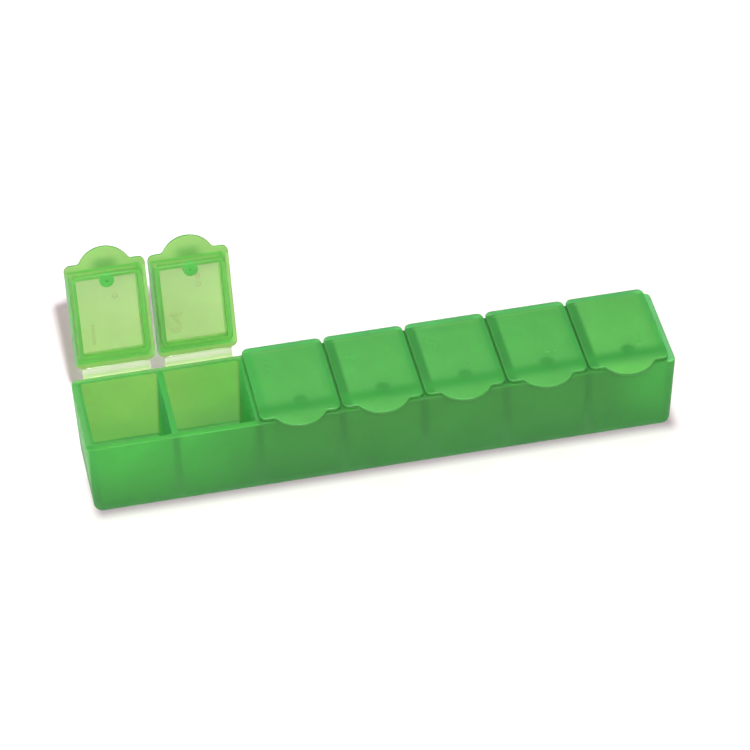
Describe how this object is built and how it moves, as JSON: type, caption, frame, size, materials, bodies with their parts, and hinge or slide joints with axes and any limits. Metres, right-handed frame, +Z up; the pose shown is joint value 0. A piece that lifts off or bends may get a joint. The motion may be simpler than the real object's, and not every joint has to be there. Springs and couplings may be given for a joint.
{
  "type": "weekly pill organizer",
  "caption": "Long translucent plastic tray of pill compartments in a row, each with its own flip-up lid on a thin moulded hinge and a half-round lift tab.",
  "frame": {"origin": "centre of the flat underside that the tray rests on", "axes": "+X along the row of compartments, left to right from the front; +Y towards the hinges at the back; +Z up"},
  "size_m": [0.1534, 0.043, 0.0566],
  "materials": {
    "tray": "smooth translucent green polypropylene, satin",
    "lid": "smooth translucent green polypropylene, satin",
    "hinge_web": "thin flexed web, paler and satin"
  },
  "bodies": {
    "tray": {"tray": "tray", "hinge_web_1": "hinge_web", "hinge_web_2": "hinge_web", "hinge_web_3": "hinge_web", "hinge_web_4": "hinge_web", "hinge_web_5": "hinge_web", "hinge_web_6": "hinge_web", "hinge_web_7": "hinge_web"},
    "lid_1": {"lid_1": "lid"},
    "lid_2": {"lid_2": "lid"},
    "lid_3": {"lid_3": "lid"},
    "lid_4": {"lid_4": "lid"},
    "lid_5": {"lid_5": "lid"},
    "lid_6": {"lid_6": "lid"},
    "lid_7": {"lid_7": "lid"}
  },
  "joints": [
    {"name": "lid_1_hinge", "type": "hinge", "parent": "tray", "child": "lid_1", "pos_m": [-0.0645, 0.01592, 0.02381], "axis": [-1, 0, 0], "range_deg": [-106.5, 73.5], "deforming": ["hinge_web_1"]},
    {"name": "lid_2_hinge", "type": "hinge", "parent": "tray", "child": "lid_2", "pos_m": [-0.043, 0.01592, 0.02381], "axis": [-1, 0, 0], "range_deg": [-105, 75], "deforming": ["hinge_web_2"]},
    {"name": "lid_3_hinge", "type": "hinge", "parent": "tray", "child": "lid_3", "pos_m": [-0.0215, 0.01592, 0.02381], "axis": [-1, 0, 0], "range_deg": [0, 180], "deforming": ["hinge_web_3"]},
    {"name": "lid_4_hinge", "type": "hinge", "parent": "tray", "child": "lid_4", "pos_m": [0, 0.01592, 0.02381], "axis": [-1, 0, 0], "range_deg": [0, 180], "deforming": ["hinge_web_4"]},
    {"name": "lid_5_hinge", "type": "hinge", "parent": "tray", "child": "lid_5", "pos_m": [0.0215, 0.01592, 0.02381], "axis": [-1, 0, 0], "range_deg": [0, 180], "deforming": ["hinge_web_5"]},
    {"name": "lid_6_hinge", "type": "hinge", "parent": "tray", "child": "lid_6", "pos_m": [0.043, 0.01592, 0.02381], "axis": [-1, 0, 0], "range_deg": [0, 180], "deforming": ["hinge_web_6"]},
    {"name": "lid_7_hinge", "type": "hinge", "parent": "tray", "child": "lid_7", "pos_m": [0.0645, 0.01592, 0.02381], "axis": [-1, 0, 0], "range_deg": [0, 180], "deforming": ["hinge_web_7"]}
  ]
}
